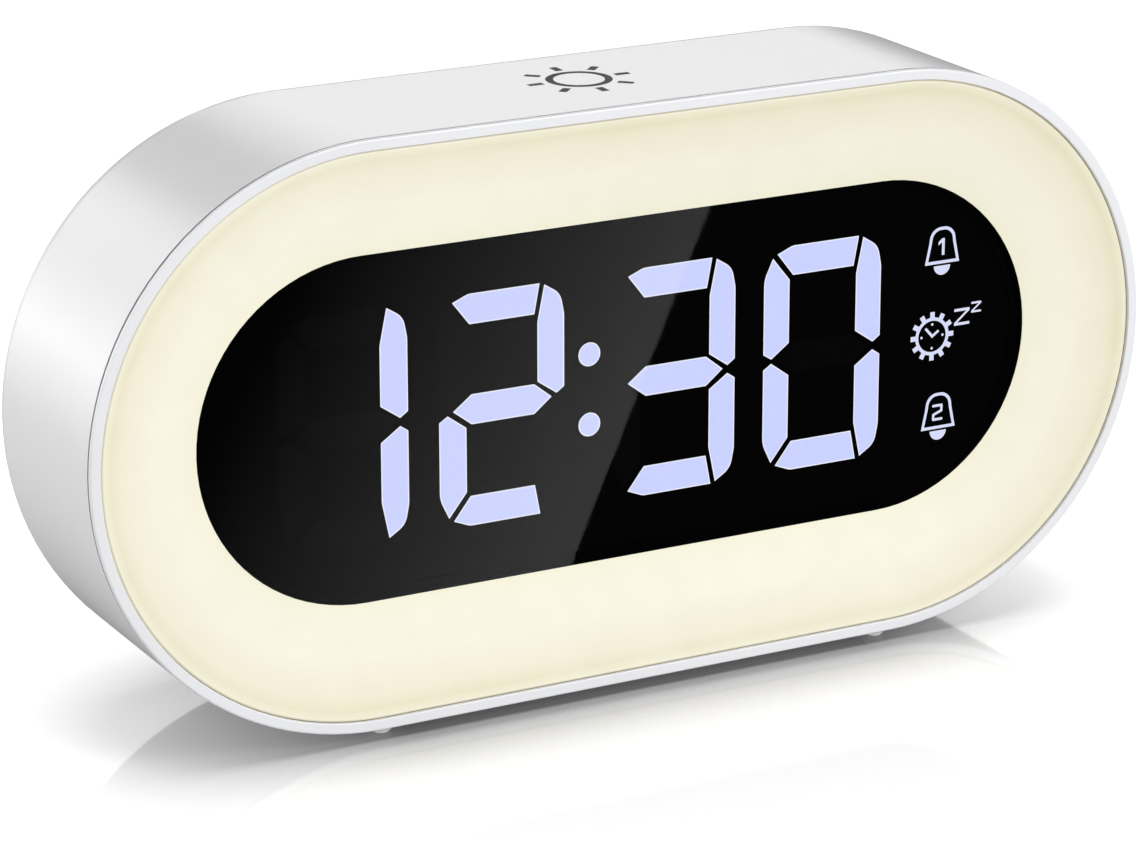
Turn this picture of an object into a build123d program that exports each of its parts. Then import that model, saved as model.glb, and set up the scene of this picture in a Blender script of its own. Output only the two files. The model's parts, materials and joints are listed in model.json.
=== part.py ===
from build123d import *
import math
import os

# A mains-powered digital alarm clock with a ring-shaped night light round its display.
# Millimetres. +X is to the right as seen from the front, +Y towards the back, +Z up.
# The origin is the bottom centre of the whole clock, feet and rear buttons included.
# Depths are counted back from the front rim, and heights from the middle of the case.

# Case
CASE_RADIUS = 40.0  # half the height of the case, whose two ends are half circles
SPINE_HALF = 39.25  # half the distance between the centres of those half circles
CASE_DEPTH = 33.0  # front rim to rear cover
FOOT_DROP = 1.2  # how far the feet stand below the case
BUTTON_PROUD = 1.2  # how far the rear buttons stand out of the cover
WALL = 2.0
EASE = 0.1  # gap round a piece that is dropped into another
REAR_ROUNDING = 3.5
SEAM_FRONT = 0.55  # the seam is the dark line between the bezel and the housing
SEAM_BACK = 0.9

# Bezel and night light
RIM_WIDTH = 1.5
RIM_STEP = 0.9  # how far the seam goes in from the outside
PLUG_DEPTH = 2.4  # where the bezel stops against the housing
SLEEVE_END = 9.0
DIFFUSER_FRONT = 0.2
DIFFUSER_WALL = 1.3
DIFFUSER_SEAT = 1.5  # where its edge rests on the bezel's step
DIFFUSER_END = 6.3  # where its inner lip meets the tray
TRAY_WALL = 1.2
TRAY_FLOOR = 14.0
TRAY_OUTER = CASE_RADIUS - WALL - 1.6
RING_LEDS_PER_SIDE = 7
RING_LEDS_PER_END = 5

# Display
LENS_RADIUS = 23.6
LENS_DEPTH = 4.5  # the lens lies this far behind the rim, at the bottom of the dish
LENS_THICKNESS = 1.0
MASK_DEPTH = 5.9  # front face of the display block
SEGMENT_THICKNESS = 1.0
ICON_THICKNESS = 0.5
DISPLAY_BOARD_DEPTH = 10.9
BOARD_THICKNESS = 1.2
DIGIT_HEIGHT = 32.0
DIGIT_WIDTH = 18.6
POST_WIDTH = 4.0  # of the upright segments
BAR_WIDTH = 4.15  # of the level ones
BAR_MIDDLE = 0.15  # height of the middle bar
DIGIT_PITCH = 23.1
COLON_X = -5.3
COLON_MARGIN = 3.8  # from the colon's middle to the digits beside it
COLON_HEIGHTS = (5.15, -4.65)
COLON_RADIUS = 1.65
BELL_X = 50.15
BELL_TOPS = (15.5, -8.5)
SNOOZE_AT = (48.8, -0.1)
ICON_LINE = 0.42
GLYPH_LINE = 0.36
ICON_WELL = 1.0
DISPLAY_SCREW = 0.8
DISPLAY_SCREW_NEAR = 7.4
LEDGE_WIDTH = 1.35  # of the step on which the display's board is screwed

# Rear
COVER_DEPTH = 31.0
COVER_LEDGE = 34.0
COVER_EDGE = 36.0
COVER_FIT = 0.15
MAIN_BOARD_DEPTH = 21.6
MAIN_BOARD_SIZE = (106.0, 56.0)
MAIN_BOARD_HEIGHT = -2.0
DISPLAY_SOCKET_AT = (0.0, -14.0)
DISPLAY_SOCKET_SIZE = (16.0, 2.5)
RING_SOCKET_AT = (-12.0, -28.0)
RING_SOCKET_SIZE = (6.0, 2.5)
SOCKET_DEPTH = 19.1  # where the sockets meet the pins of the main board
BUTTON_X = (-28.0, -14.0, 0.0, 14.0, 28.0)
BUTTON_HEIGHT = 18.0
BUTTON_RADIUS = 4.2
BUTTON_GAP = 0.25
SWITCH_SIZE = 6.0
SWITCH_DEPTH = 3.5
PLUNGER_RADIUS = 1.7
PLUNGER_END = 29.8
CAP_NEAR = 30.2  # where a button's flange begins
SIGN_DEPTH = 0.25  # how deep a button's sign is engraved
SPEAKER_AT = (-32.0, -7.0)
SPEAKER_RADIUS = 13.5
BASKET_DEPTH = 26.6
GRILLE_PITCH = 3.2
GRILLE_HOLE = 0.8
GRILLE_RINGS = 3
CELL_AT = (32.0, -7.0)
CELL_RADIUS = 10.0
CELL_THICKNESS = 3.2
CELL_FLOOR = 27.4
CONTACT_THICKNESS = 0.3
CONTACT_SPRING = 0.6  # from the bay's floor to the cell
NEGATIVE_TAIL = -3.5  # across from the cell's middle
POSITIVE_TAIL = CELL_RADIUS + 0.4
DOOR_SIZE = 25.4
DOOR_GAP = 0.3
DOOR_DEPTH = 31.85
DOOR_LEG_AT = 10.2
NOTCH_DEPTH = 0.96  # of the fingernail hollow
BAY_FLOOR = 1.0  # thickness of the cell bay's floor
INLET_AT = (0.0, -12.0)
INLET_BORE = 1.9
INLET_NOSE = 3.6
INLET_FLOOR = 24.0
INLET_MOUTH = CASE_DEPTH - 0.4

# Fasteners and feet
SCREW_FIT = 0.05  # radial gap of a screw's shank in its hole
RECESS_WIDTH = 0.5  # of the cross in a screw's head
COVER_SCREW = 1.2
COVER_HEAD_DEPTH = 31.8
SMALL_SCREW = 0.9
COVER_POST_REACH = 31.5  # from an end centre to each cover post, at 45 degrees
COVER_POST_RADIUS = 3.0
COVER_POST_DEPTH = 18.0
BOARD_SCREW_END = 27.5
BOARD_HEAD = 1.2
LUG_NEAR = 19.0
LUG_FAR = 21.0
CATCH_DEPTHS = (6.2, 7.4)  # of the bezel's snap catches
FOOT_LENGTH = 6.0
FOOT_WIDTH = 2.8
FOOT_POCKET = 0.4
FOOT_X = 38.3
FRONT_FOOT_DEPTH = 4.4
REAR_FOOT_DEPTH = 26.0
MARK_X = -1.2
MARK_DEPTH = 16.4  # the touch mark's middle, behind the rim
MARK_INLAY = 0.1

FRONT_Y = -(CASE_DEPTH + BUTTON_PROUD) / 2
CENTRE_Z = CASE_RADIUS + FOOT_DROP
DISPLAY_BOARD_BACK = DISPLAY_BOARD_DEPTH + BOARD_THICKNESS
MAIN_BOARD_BACK = MAIN_BOARD_DEPTH + BOARD_THICKNESS
SWITCH_END = MAIN_BOARD_BACK + SWITCH_DEPTH
DIGIT_TOP = DIGIT_HEIGHT / 2
POST_INSIDE = DIGIT_WIDTH - POST_WIDTH  # the inner edge of the right-hand posts
TRAY_BACK = TRAY_FLOOR + TRAY_WALL
COVER_POSTS = [
    (side * (SPINE_HALF + COVER_POST_REACH * math.cos(math.radians(45))),
     up * COVER_POST_REACH * math.sin(math.radians(45)))
    for side in (-1, 1)
    for up in (-1, 1)
]
TRAY_LUGS = [(side * 30.0, up * 33.5) for side in (-1, 1) for up in (-1, 1)]
BOARD_POSTS = [(side * 49.5, height) for side in (-1, 1) for height in (-20.0, 21.0)]
DISPLAY_SCREWS = [(x, up * 8.0) for x in (-57.0, 58.0) for up in (-1, 1)]
DOOR_LEGS = [(side * DOOR_LEG_AT, up * DOOR_LEG_AT) for side in (-1, 1) for up in (-1, 1)]
DIGIT_LEFTS = {
    "hour_tens": COLON_X - COLON_MARGIN - DIGIT_WIDTH - DIGIT_PITCH,
    "hour_units": COLON_X - COLON_MARGIN - DIGIT_WIDTH,
    "minute_tens": COLON_X + COLON_MARGIN,
    "minute_units": COLON_X + COLON_MARGIN + DIGIT_PITCH,
}
SHOWN_SEGMENTS = {
    "hour_tens": "bc",
    "hour_units": "abdeg",
    "minute_tens": "abcdg",
    "minute_units": "abcdef",
}


# --- Shared shapes -------------------------------------------------------------------


def front_plane(depth):
    """A plane across the clock at a depth, drawn on as seen from the front."""
    origin = (0, FRONT_Y + depth, CENTRE_Z)
    return Plane(origin=origin, x_dir=(1, 0, 0), z_dir=(0, -1, 0))


def slab(outline, near, far):
    """An outline made solid from one depth to another."""
    return extrude(front_plane(near) * outline, amount=near - far)


def post(place, radius, near, far):
    return slab(Pos(*place) * Circle(radius), near, far)


def posts(places, radius, near, far):
    return [post(place, radius, near, far) for place in places]


def block(place, width, height, near, far):
    return slab(Pos(*place) * Rectangle(width, height), near, far)


def stadium(radius):
    return SlotCenterToCenter(2 * SPINE_HALF, 2 * radius)


def stadium_slab(radius, near, far):
    return slab(stadium(radius), near, far)


def closed_outline(points, roundings=None):
    """A face through the points. roundings gives the radius at some of their indices."""
    face = make_face(Polyline(*points, close=True))
    for index, radius in (roundings or {}).items():
        corner = face.vertices().sort_by_distance(points[index])[0]
        face = fillet(corner, radius)
    return face


def stadium_ring(section):
    """Carries a section, drawn as (distance from the spine, depth), round the stadium."""
    start = Plane(
        origin=(SPINE_HALF, FRONT_Y, CENTRE_Z), x_dir=(0, 0, -1), z_dir=(1, 0, 0)
    )
    placed = start * section
    side = extrude(placed, amount=-2 * SPINE_HALF)
    end = revolve(placed, Axis((SPINE_HALF, 0, CENTRE_Z), (0, -1, 0)), 180)
    half = side + end
    return half + half.rotate(Axis((0, 0, CENTRE_Z), (0, 1, 0)), 180)


def turned(profile, place):
    """Turns a profile, drawn as (radius, depth), about a front-to-back line at a place."""
    x, height = place
    start = Plane(
        origin=(x, FRONT_Y, CENTRE_Z + height), x_dir=(1, 0, 0), z_dir=(0, 0, 1)
    )
    line = Axis((x, 0, CENTRE_Z + height), (0, 1, 0))
    return revolve(start * profile, line, 360)


def round_the_ring(radius):
    """Places along a stadium line, as (x, height, angle), evenly enough for the LEDs."""
    places = []
    span = 2 * SPINE_HALF * (RING_LEDS_PER_SIDE - 1) / RING_LEDS_PER_SIDE
    for number in range(RING_LEDS_PER_SIDE):
        x = -span / 2 + number * span / (RING_LEDS_PER_SIDE - 1)
        places += [(x, radius, 0), (x, -radius, 0)]
    step = 180 / RING_LEDS_PER_END
    for number in range(RING_LEDS_PER_END):
        angle = -90 + step * (number + 0.5)
        away = math.radians(angle)
        x = SPINE_HALF + radius * math.cos(away)
        height = radius * math.sin(away)
        places += [(x, height, angle + 90), (-x, height, 90 - angle)]
    return places


def save(name, shape):
    export_step(shape, f"parts/{name}.step")


def save_group(name, solids):
    save(name, Compound(label=name, children=solids))


# --- Case ----------------------------------------------------------------------------


def foot_outline(side, depth):
    """A foot's outline on the underside, seen from above, longer front to back."""
    place = Plane(origin=(side * FOOT_X, FRONT_Y + depth, 0))
    return place * Rot(0, 0, 90) * SlotOverall(FOOT_LENGTH, FOOT_WIDTH)


def foot(side, depth):
    """A rubber foot, set in a pocket of the housing, with its lower edge rounded."""
    body = extrude(foot_outline(side, depth), amount=FOOT_DROP + FOOT_POCKET)
    low_edge = body.edges().group_by(Axis.Z)[0]
    return chamfer(low_edge, 0.4)


def touch_mark_outline():
    """A sun: a ring with eight rays, seen from above."""
    place = Plane(origin=(MARK_X, FRONT_Y + MARK_DEPTH, CENTRE_Z + CASE_RADIUS - MARK_INLAY))
    faces = [Circle(4.5) - Circle(3.45)]
    for number in range(8):
        faces.append(Rot(0, 0, 45 * number) * Pos(6.5, 0) * Rectangle(2.2, 1.15))
    return [place * face for face in faces]


def cover_post(place):
    """A screw post with the rib that joins it to the wall."""
    x, height = place
    side = math.copysign(1, x)
    angle = math.degrees(math.atan2(height, x - side * SPINE_HALF))
    reach = (COVER_POST_REACH + CASE_RADIUS - WALL) / 2 + 0.25
    rib = Pos(side * SPINE_HALF, 0) * Rot(0, 0, angle) * Pos(reach, 0) * Rectangle(7.0, 2.0)
    near = COVER_POST_DEPTH
    return slab(rib, near, COVER_DEPTH) + post(place, COVER_POST_RADIUS, near, COVER_DEPTH)


def tray_lug(place):
    """A lug inside the wall that the light tray is screwed to from behind."""
    x, height = place
    up = math.copysign(1, height)
    inner = abs(height) - 2.5
    outer = CASE_RADIUS - WALL + 0.4
    return block((x, up * (inner + outer) / 2), 7.0, outer - inner, LUG_NEAR, LUG_FAR)


def catch_places():
    """Where the bezel snaps into the housing: (x, height, across, tall)."""
    wall = CASE_RADIUS - WALL
    straight = [(side * 18.0, up * wall, 8.0, 0.8) for side in (-1, 1) for up in (-1, 1)]
    ends = [(side * (SPINE_HALF + wall), 0, 0.8, 8.0) for side in (-1, 1)]
    return straight + ends


def housing():
    """The one-piece case shell: wall, rounded rear rim and the ledge for the cover."""
    inside = CASE_RADIUS - WALL
    section = closed_outline(
        [
            (CASE_RADIUS - RIM_STEP + EASE, SEAM_BACK),
            (CASE_RADIUS, SEAM_BACK),
            (CASE_RADIUS, CASE_DEPTH),
            (COVER_EDGE, CASE_DEPTH),
            (COVER_EDGE, COVER_DEPTH),
            (COVER_LEDGE, COVER_DEPTH),
            (COVER_LEDGE, COVER_DEPTH - WALL),
            (inside, COVER_DEPTH - WALL),
            (inside, PLUG_DEPTH),
            (CASE_RADIUS - RIM_STEP + EASE, PLUG_DEPTH),
        ],
        {1: 0.2, 2: REAR_ROUNDING, 7: 1.8},
    )
    shell = stadium_ring(section)
    for place in COVER_POSTS:
        shell += cover_post(place)
    for place in TRAY_LUGS:
        shell += tray_lug(place)
    for place in COVER_POSTS:
        shell -= post(place, COVER_SCREW + SCREW_FIT, COVER_POST_DEPTH + 5.0, COVER_DEPTH)
    for place in TRAY_LUGS:
        shell -= post(place, SMALL_SCREW + 0.2, LUG_NEAR, LUG_FAR)
    near, far = CATCH_DEPTHS
    for x, height, across, tall in catch_places():
        shell -= block((x, height), across + 0.4, tall + 0.2, near - 0.2, far + 0.2)
    for side in (-1, 1):
        for depth in (FRONT_FOOT_DEPTH, REAR_FOOT_DEPTH):
            shell -= extrude(foot_outline(side, depth), amount=FOOT_DROP + FOOT_POCKET)
    for face in touch_mark_outline():
        shell -= extrude(face, amount=MARK_INLAY)
    return shell


def front_bezel():
    """The thin front rim, its plug into the housing and the sleeve behind the light."""
    plug = CASE_RADIUS - RIM_STEP
    sleeve = CASE_RADIUS - WALL - EASE
    section = closed_outline(
        [
            (CASE_RADIUS - RIM_WIDTH, 0),
            (CASE_RADIUS, 0),
            (CASE_RADIUS, SEAM_FRONT),
            (plug, SEAM_FRONT),
            (plug, PLUG_DEPTH),
            (sleeve, PLUG_DEPTH),
            (sleeve, SLEEVE_END),
            (sleeve - WALL * 0.6, SLEEVE_END),
            (sleeve - WALL * 0.6, DIFFUSER_SEAT),
            (CASE_RADIUS - RIM_WIDTH, DIFFUSER_SEAT),
        ],
        {0: 0.15, 1: 0.3},
    )
    bezel = stadium_ring(section)
    for x, height, across, tall in catch_places():
        bezel += block((x, height), across, tall, *CATCH_DEPTHS)
    return bezel


def light_diffuser():
    """The milky dished ring that slopes from the rim down to the lens."""
    outer = CASE_RADIUS - RIM_WIDTH - EASE
    seat_edge = CASE_RADIUS - WALL - EASE - WALL * 0.6 - 0.2
    inner_wall = LENS_RADIUS + 0.05
    lip = inner_wall + TRAY_WALL
    slope = (LENS_DEPTH - DIFFUSER_FRONT) / (outer - inner_wall)
    section = closed_outline(
        [
            (outer, DIFFUSER_FRONT),
            (outer, DIFFUSER_SEAT),
            (seat_edge, DIFFUSER_SEAT),
            (seat_edge, DIFFUSER_FRONT + slope * (outer - seat_edge) + DIFFUSER_WALL),
            (lip, DIFFUSER_FRONT + slope * (outer - lip) + DIFFUSER_WALL),
            (lip, DIFFUSER_END),
            (inner_wall, DIFFUSER_END),
            (inner_wall, LENS_DEPTH),
        ],
        {0: 0.3, 7: 0.05},
    )
    return stadium_ring(section)


def light_tray():
    """The white channel behind the diffuser, with the ledge that carries the display."""
    inner = LENS_RADIUS + 0.05
    ledge = inner - LEDGE_WIDTH
    section = closed_outline(
        [
            (inner, DIFFUSER_END),
            (inner + TRAY_WALL, DIFFUSER_END),
            (inner + TRAY_WALL, TRAY_FLOOR),
            (TRAY_OUTER - TRAY_WALL, TRAY_FLOOR),
            (TRAY_OUTER - TRAY_WALL, 3.0),
            (TRAY_OUTER, 3.0),
            (TRAY_OUTER, TRAY_BACK),
            (inner, TRAY_BACK),
            (inner, DISPLAY_BOARD_BACK + TRAY_WALL),
            (ledge, DISPLAY_BOARD_BACK + TRAY_WALL),
            (ledge, DISPLAY_BOARD_BACK),
            (inner, DISPLAY_BOARD_BACK),
        ]
    )
    tray = stadium_ring(section)
    for place in TRAY_LUGS:
        tray += post(place, 2.4, TRAY_BACK, LUG_NEAR)
    for place in TRAY_LUGS:
        tray -= post(place, SMALL_SCREW + SCREW_FIT, TRAY_BACK, LUG_NEAR)
    return tray - block(RING_SOCKET_AT, 7.0, 3.5, TRAY_FLOOR, TRAY_BACK)


# --- Display -------------------------------------------------------------------------

# A digit's seven segments, lettered a to g clockwise from the top with g in the middle.
# Their corners are counted from the digit's left edge and its middle height.


def segment_top():
    """Segment a: a bar with a tapered left end, and a right end cut to clear b."""
    under = DIGIT_TOP - BAR_WIDTH
    outline = [
        (2.05, DIGIT_TOP - 0.95),
        (4.4, DIGIT_TOP),
        (DIGIT_WIDTH - 3.65, DIGIT_TOP),
        (POST_INSIDE - 0.45, under),
        (POST_WIDTH + 0.55, under),
    ]
    return closed_outline(outline, {1: 2.0})


def segment_upper_right():
    """Segment b: a post with a broad rounded shoulder."""
    outline = [
        (DIGIT_WIDTH - 2.95, DIGIT_TOP - 0.25),
        (DIGIT_WIDTH - 0.55, DIGIT_TOP - 1.75),
        (DIGIT_WIDTH, DIGIT_TOP - 4.6),
        (DIGIT_WIDTH, 1.35),
        (DIGIT_WIDTH - 1.15, 0.55),
        (POST_INSIDE, 2.5),
        (POST_INSIDE, DIGIT_TOP - 5.3),
    ]
    return closed_outline(outline, {1: 2.6, 2: 3.0})


def segment_upper_left():
    """Segment f: a post with a tapered top."""
    outline = [
        (1.35, DIGIT_TOP - 1.45),
        (0, DIGIT_TOP - 4.3),
        (0, 1.1),
        (1.25, 0.3),
        (POST_WIDTH, 2.3),
        (POST_WIDTH, DIGIT_TOP - 4.75),
    ]
    return closed_outline(outline, {1: 4.0})


def segment_middle():
    """Segment g: a bar pointed at both ends."""
    over = BAR_MIDDLE + BAR_WIDTH / 2
    under = BAR_MIDDLE - BAR_WIDTH / 2
    return closed_outline(
        [
            (2.05, BAR_MIDDLE),
            (POST_WIDTH + 0.8, over),
            (POST_INSIDE - 0.5, over),
            (DIGIT_WIDTH - 1.9, BAR_MIDDLE),
            (POST_INSIDE - 0.5, under),
            (POST_WIDTH + 0.8, under),
        ]
    )


def segment_outlines():
    """All seven, about a digit's left edge and its middle height."""
    upside_down = Plane.XZ
    top = segment_top()
    upper_right = segment_upper_right()
    upper_left = segment_upper_left()
    return {
        "a": top,
        "b": upper_right,
        "c": mirror(upper_right, upside_down),
        "d": mirror(top, upside_down),
        "e": mirror(upper_left, upside_down),
        "f": upper_left,
        "g": segment_middle(),
    }


def digit_faces(digit, wanted):
    outlines = segment_outlines()
    return [Pos(DIGIT_LEFTS[digit], 0) * outlines[letter] for letter in wanted]


def shown_faces(digit):
    return digit_faces(digit, SHOWN_SEGMENTS[digit])


def dark_faces():
    faces = []
    for digit, shown in SHOWN_SEGMENTS.items():
        faces += digit_faces(digit, [letter for letter in "abcdefg" if letter not in shown])
    return faces


def colon_faces():
    return [Pos(COLON_X, height) * Circle(COLON_RADIUS) for height in COLON_HEIGHTS]


def one_glyph():
    return closed_outline(
        [(-0.5, 0.7), (0.1, 1.2), (0.5, 1.2), (0.5, -1.2), (0.08, -1.2), (0.08, 0.68), (-0.5, 0.24)]
    )


def two_glyph():
    """A squared figure two, as one stroke with even width."""
    path = [(-0.7, 1.0), (0.66, 1.0), (0.66, 0.2), (-0.66, -0.3), (-0.66, -1.0), (0.7, -1.0)]
    bars = []
    for (x0, y0), (x1, y1) in zip(path, path[1:]):
        length = math.hypot(x1 - x0, y1 - y0)
        angle = math.degrees(math.atan2(y1 - y0, x1 - x0))
        bar = SlotCenterToCenter(length, GLYPH_LINE)
        bars.append(Pos((x0 + x1) / 2, (y0 + y1) / 2) * Rot(0, 0, angle) * bar)
    return bars[0] + bars[1:]


def bell_faces(top, glyph):
    """A bell drawn as a line, with its clapper below and a number inside."""
    base = top - 5.25
    dome = closed_outline(
        [
            (-2.8, base),
            (-2.15, top - 2.2),
            (-1.9, top),
            (1.9, top),
            (2.15, top - 2.2),
            (2.8, base),
        ],
        {1: 3.0, 2: 1.85, 3: 1.85, 4: 3.0},
    )
    hollow = closed_outline(
        [
            (-2.31, base + ICON_LINE),
            (-1.75, top - 2.3),
            (-1.5, top - ICON_LINE),
            (1.5, top - ICON_LINE),
            (1.75, top - 2.3),
            (2.31, base + ICON_LINE),
        ],
        {1: 3.0, 2: 1.45, 3: 1.45, 4: 3.0},
    )
    clapper = Circle(1.33) & (Pos(0, -1) * Rectangle(4, 2))
    return [
        Pos(BELL_X, 0) * (dome - hollow),
        Pos(BELL_X, base - 0.3) * clapper,
        Pos(BELL_X - 0.15, top - 2.85) * glyph,
    ]


def z_mark(width, height, stroke):
    """A zigzag of two bars and a diagonal."""
    right, up = width / 2, height / 2
    lean = stroke * 1.25
    return closed_outline(
        [
            (-right, up),
            (right, up),
            (right, up - stroke),
            (-right + lean, -up + stroke),
            (right, -up + stroke),
            (right, -up),
            (-right, -up),
            (-right, -up + stroke),
            (right - lean, up - stroke),
            (-right, up - stroke),
        ]
    )


def stroke(start, end, width):
    (x0, y0), (x1, y1) = start, end
    length = math.hypot(x1 - x0, y1 - y0)
    angle = math.degrees(math.atan2(y1 - y0, x1 - x0))
    return Pos((x0 + x1) / 2, (y0 + y1) / 2) * Rot(0, 0, angle) * Rectangle(length, width)


def snooze_faces():
    """A toothed clock dial with hands and hour dots, and two sleep marks beside it."""
    rim = Circle(2.72) - Circle(2.26)
    for number in range(12):
        rim += Rot(0, 0, 30 * number) * Pos(3.05, 0) * Rectangle(0.9, 0.7)
    hands = stroke((-1.1, 1.25), (0.12, -0.1), GLYPH_LINE)
    hands += stroke((-0.12, -0.1), (1.05, 0.7), GLYPH_LINE)
    dots = [Rot(0, 0, 90 * number) * Pos(1.72, 0) * Circle(0.18) for number in range(4)]
    x, height = SNOOZE_AT
    dial = [Pos(x, height) * face for face in [rim, hands, *dots]]
    return dial + [
        Pos(x + 4.85, height + 2.2) * z_mark(2.5, 2.4, 0.38),
        Pos(x + 7.2, height + 3.3) * z_mark(1.6, 1.55, 0.28),
    ]


def icon_nodes():
    return {
        "alarm_1_icon": bell_faces(BELL_TOPS[0], one_glyph()),
        "snooze_icon": snooze_faces(),
        "alarm_2_icon": bell_faces(BELL_TOPS[1], two_glyph()),
    }


def icon_led_places():
    return [(BELL_X, BELL_TOPS[0] - 2.85), SNOOZE_AT, (BELL_X, BELL_TOPS[1] - 2.85)]


def windows(faces, thickness):
    return [slab(face, MASK_DEPTH, MASK_DEPTH + thickness) for face in faces]


def display_block():
    """The black block whose wells hold the segments and keep their light apart."""
    body = stadium_slab(LENS_RADIUS - EASE, MASK_DEPTH, DISPLAY_BOARD_DEPTH)
    wells = dark_faces() + colon_faces()
    for digit in SHOWN_SEGMENTS:
        wells += shown_faces(digit)
    body -= [slab(face, MASK_DEPTH, DISPLAY_BOARD_DEPTH) for face in wells]
    for faces in icon_nodes().values():
        body -= windows(faces, ICON_THICKNESS)
    well_near = MASK_DEPTH + ICON_THICKNESS
    body -= posts(icon_led_places(), ICON_WELL, well_near, DISPLAY_BOARD_DEPTH)
    shank = DISPLAY_SCREW + SCREW_FIT
    return body - posts(DISPLAY_SCREWS, shank, DISPLAY_SCREW_NEAR, DISPLAY_BOARD_DEPTH)


def display_led_places():
    """One LED in the middle of every segment, dot and icon."""
    middles = {"a": (0.5, 0.435), "b": (0.88, 0.23), "c": (0.88, -0.23), "d": (0.5, -0.435)}
    middles |= {"e": (0.12, -0.23), "f": (0.12, 0.23), "g": (0.5, 0.003)}
    places = [
        (left + across * DIGIT_WIDTH, up * DIGIT_HEIGHT)
        for left in DIGIT_LEFTS.values()
        for across, up in middles.values()
    ]
    places += [(COLON_X, height) for height in COLON_HEIGHTS]
    return places + icon_led_places()


def save_display():
    save("display_lens", stadium_slab(LENS_RADIUS - 0.05, LENS_DEPTH, LENS_DEPTH + LENS_THICKNESS))
    gasket = stadium(LENS_RADIUS - 0.2) - stadium(LENS_RADIUS - 1.3)
    save("lens_gasket", slab(gasket, LENS_DEPTH + LENS_THICKNESS, MASK_DEPTH))
    save("display_block", display_block())
    for digit in SHOWN_SEGMENTS:
        save_group(f"{digit}_segments", windows(shown_faces(digit), SEGMENT_THICKNESS))
    save_group("unlit_segments", windows(dark_faces(), SEGMENT_THICKNESS))
    save_group("colon_dots", windows(colon_faces(), SEGMENT_THICKNESS))
    for name, faces in icon_nodes().items():
        save_group(name, windows(faces, ICON_THICKNESS))
    board = stadium_slab(LENS_RADIUS - 0.3, DISPLAY_BOARD_DEPTH, DISPLAY_BOARD_BACK)
    shank = DISPLAY_SCREW + SCREW_FIT
    board -= posts(DISPLAY_SCREWS, shank, DISPLAY_BOARD_DEPTH, DISPLAY_BOARD_BACK)
    save("display_board", board)
    leds = [
        block(place, 1.4, 0.8, DISPLAY_BOARD_DEPTH - 0.6, DISPLAY_BOARD_DEPTH)
        for place in display_led_places()
    ]
    save_group("display_leds", leds)
    save("display_driver", chip((-12, 4), 13.0, 7.6, DISPLAY_BOARD_BACK, 1.6))
    screws = [
        screw(place, DISPLAY_SCREW, 1.5, DISPLAY_BOARD_BACK, 0.9, 4.4) for place in DISPLAY_SCREWS
    ]
    save_group("display_screws", screws)


# --- Electronics ---------------------------------------------------------------------


def chip(place, width, height, near, thickness):
    """A flat chip package with a rounded outline and its pin-one dimple."""
    package = slab(Pos(*place) * RectangleRounded(width, height, 0.4), near, near + thickness)
    x, up = place
    dimple_place = (x - width / 2 + 1.4, up + height / 2 - 1.4)
    return package - post(dimple_place, 0.5, near + thickness - 0.2, near + thickness)


def screw(place, radius, head_radius, head_near, head_thickness, length):
    """A pan-head screw driven from behind, with a cross recess in its head."""
    head = post(place, head_radius, head_near, head_near + head_thickness)
    shank = post(place, radius, head_near - length, head_near)
    slot_near = head_near + head_thickness * 0.4
    slot_far = head_near + head_thickness
    cross = block(place, head_radius * 1.2, RECESS_WIDTH, slot_near, slot_far)
    cross += block(place, RECESS_WIDTH, head_radius * 1.2, slot_near, slot_far)
    return head + shank - cross


def board_screw(place):
    """A screw driven from the front through the main board into a cover post."""
    top = MAIN_BOARD_DEPTH - BOARD_HEAD
    head = post(place, 1.8, top, MAIN_BOARD_DEPTH)
    shank = post(place, SMALL_SCREW, MAIN_BOARD_DEPTH, BOARD_SCREW_END)
    cross = block(place, 2.2, RECESS_WIDTH, top, top + BOARD_HEAD / 2)
    cross += block(place, RECESS_WIDTH, 2.2, top, top + BOARD_HEAD / 2)
    return head + shank - cross


def ring_board():
    """The flat ring of board that carries the night light's LEDs."""
    outline = stadium(TRAY_OUTER - 1.5) - stadium(LENS_RADIUS + 1.5)
    return slab(outline, TRAY_FLOOR - BOARD_THICKNESS, TRAY_FLOOR)


def ring_leds():
    """The LEDs round the ring, each turned along it."""
    near = TRAY_FLOOR - BOARD_THICKNESS - 0.8
    far = TRAY_FLOOR - BOARD_THICKNESS
    return [
        slab(Pos(x, height) * Rot(0, 0, angle) * RectangleRounded(3.5, 2.8, 0.3), near, far)
        for x, height, angle in round_the_ring(30.0)
    ]


def socket_strips():
    """Sockets on the display board and on the light ring's board."""
    return [
        block(DISPLAY_SOCKET_AT, *DISPLAY_SOCKET_SIZE, DISPLAY_BOARD_BACK, SOCKET_DEPTH),
        block(RING_SOCKET_AT, *RING_SOCKET_SIZE, TRAY_FLOOR, SOCKET_DEPTH),
    ]


def pin_strips():
    """The pin rows on the main board that plug into those sockets."""
    return [
        block(DISPLAY_SOCKET_AT, *DISPLAY_SOCKET_SIZE, SOCKET_DEPTH, MAIN_BOARD_DEPTH),
        block(RING_SOCKET_AT, *RING_SOCKET_SIZE, SOCKET_DEPTH, MAIN_BOARD_DEPTH),
    ]


def main_board():
    """The board that carries the controller, switches, inlet and cell contacts."""
    outline = Pos(0, MAIN_BOARD_HEIGHT) * RectangleRounded(*MAIN_BOARD_SIZE, 2.0)
    board = slab(outline, MAIN_BOARD_DEPTH, MAIN_BOARD_BACK)
    return board - posts(BOARD_POSTS, SMALL_SCREW + 0.15, MAIN_BOARD_DEPTH, MAIN_BOARD_BACK)


def capacitors():
    """Two small electrolytic cans standing on the board."""
    return [post((12.0, height), 2.5, MAIN_BOARD_BACK, 29.0) for height in (-7.0, -15.0)]


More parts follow.
